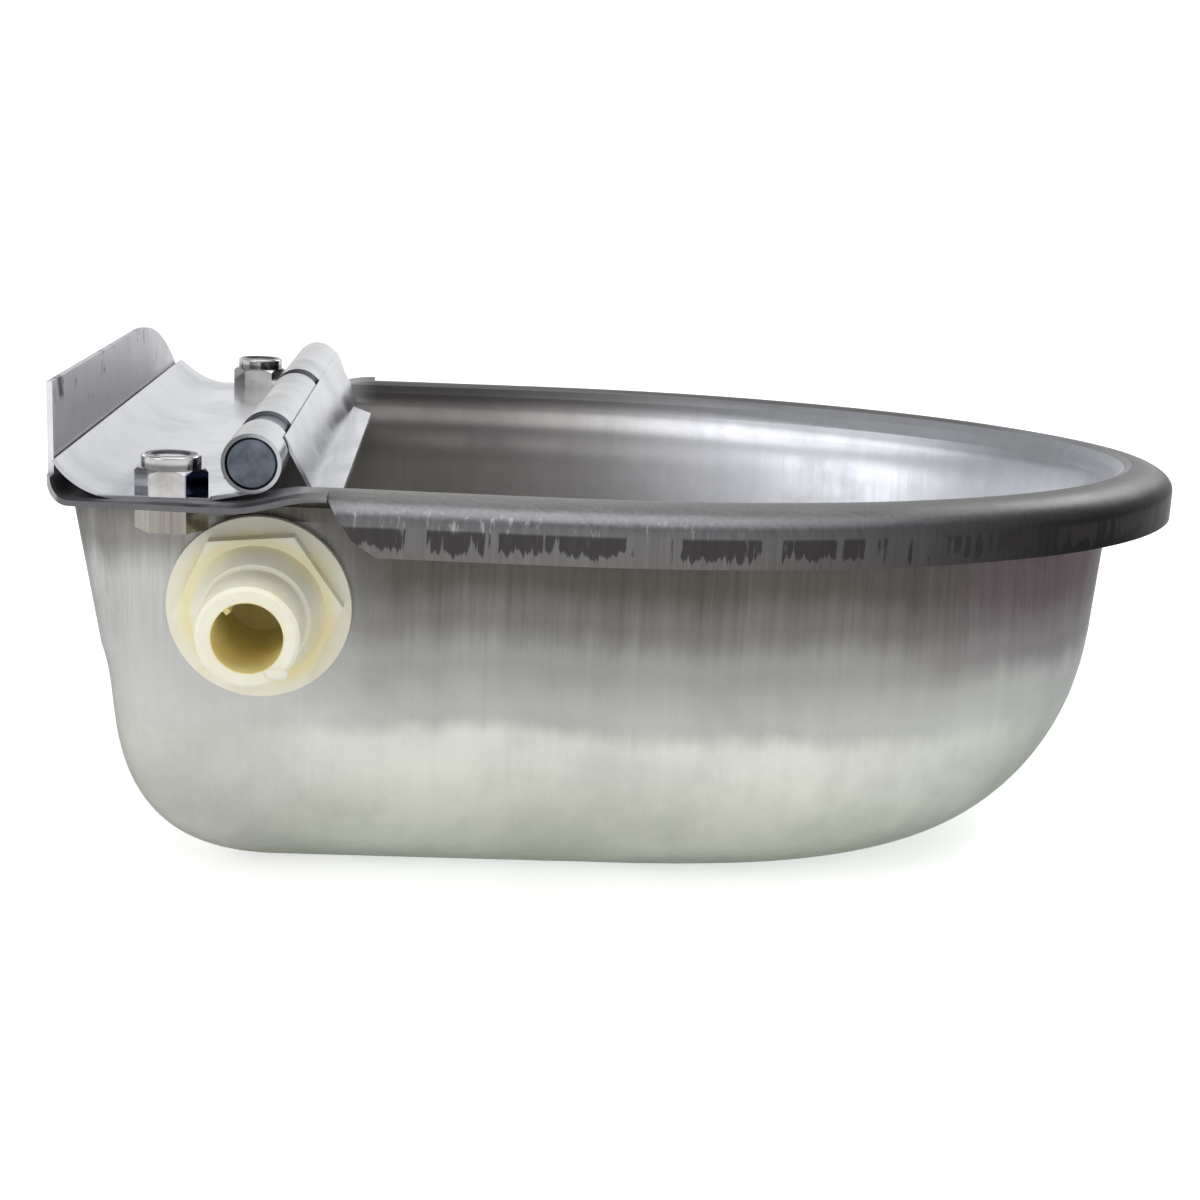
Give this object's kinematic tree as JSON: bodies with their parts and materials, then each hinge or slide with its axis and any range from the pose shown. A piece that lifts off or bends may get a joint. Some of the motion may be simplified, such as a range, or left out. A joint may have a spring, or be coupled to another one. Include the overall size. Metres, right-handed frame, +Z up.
{
  "type": "livestock drinking bowl",
  "caption": "Pressed steel drinking bowl for livestock with a rolled rim, a covered float valve at its back, a hinged flap and a side water inlet.",
  "frame": {"origin": "on the underside of the flat floor, midway between the sides", "axes": "+X towards the drinking end, -X towards the wall it hangs on, -Y towards the water inlet, +Z up"},
  "size_m": [0.2595, 0.2254, 0.1092],
  "materials": {
    "bowl_sheet": "satin, drawn sheet",
    "cover_sheet": "polished sheet",
    "pin_steel": "drawn bar",
    "fastener": "bright",
    "collar": "moulded",
    "inlet_nylon": "moulded, slightly glossy",
    "seat_plastic": "moulded",
    "seal_rubber": "matt",
    "float_plastic": "moulded"
  },
  "bodies": {
    "bowl": {"bowl": "bowl_sheet", "cover_plate": "cover_sheet", "hinge_pin": "pin_steel", "cover_bolts": "fastener", "cover_nuts": "fastener", "nut_collars": "collar", "valve_body": "inlet_nylon", "wall_gasket": "seal_rubber", "inlet_lock_nut": "inlet_nylon", "orifice_seat": "seat_plastic", "seat_ring": "seal_rubber", "lever_pin": "pin_steel", "split_pin": "pin_steel"},
    "flap": {"cover_flap": "cover_sheet"},
    "plunger": {"valve_plunger": "seat_plastic", "plunger_seal": "seal_rubber"},
    "lever": {"float_lever": "float_plastic", "float_arm": "pin_steel", "arm_nuts": "pin_steel", "float_shell": "float_plastic", "float_cap": "float_plastic"}
  },
  "joints": [
    {"name": "flap_hinge", "type": "hinge", "parent": "bowl", "child": "flap", "pos_m": [-0.0639, 0, 0.0945], "axis": [0, -1, 0], "range_deg": [0, 180]},
    {"name": "float_pivot", "type": "hinge", "parent": "bowl", "child": "lever", "pos_m": [-0.063, -0.05142, 0.05505], "axis": [1, 0, 0], "range_deg": [0, 24]},
    {"name": "plunger_slide", "type": "slide", "parent": "bowl", "child": "plunger", "axis": [0, -0.9994, -0.0349], "range_m": [0, 0.00392]}
  ],
  "couplings": [
    {"joint": "plunger_slide", "follows": "float_pivot", "m_per_rad": 0.0093314}
  ]
}
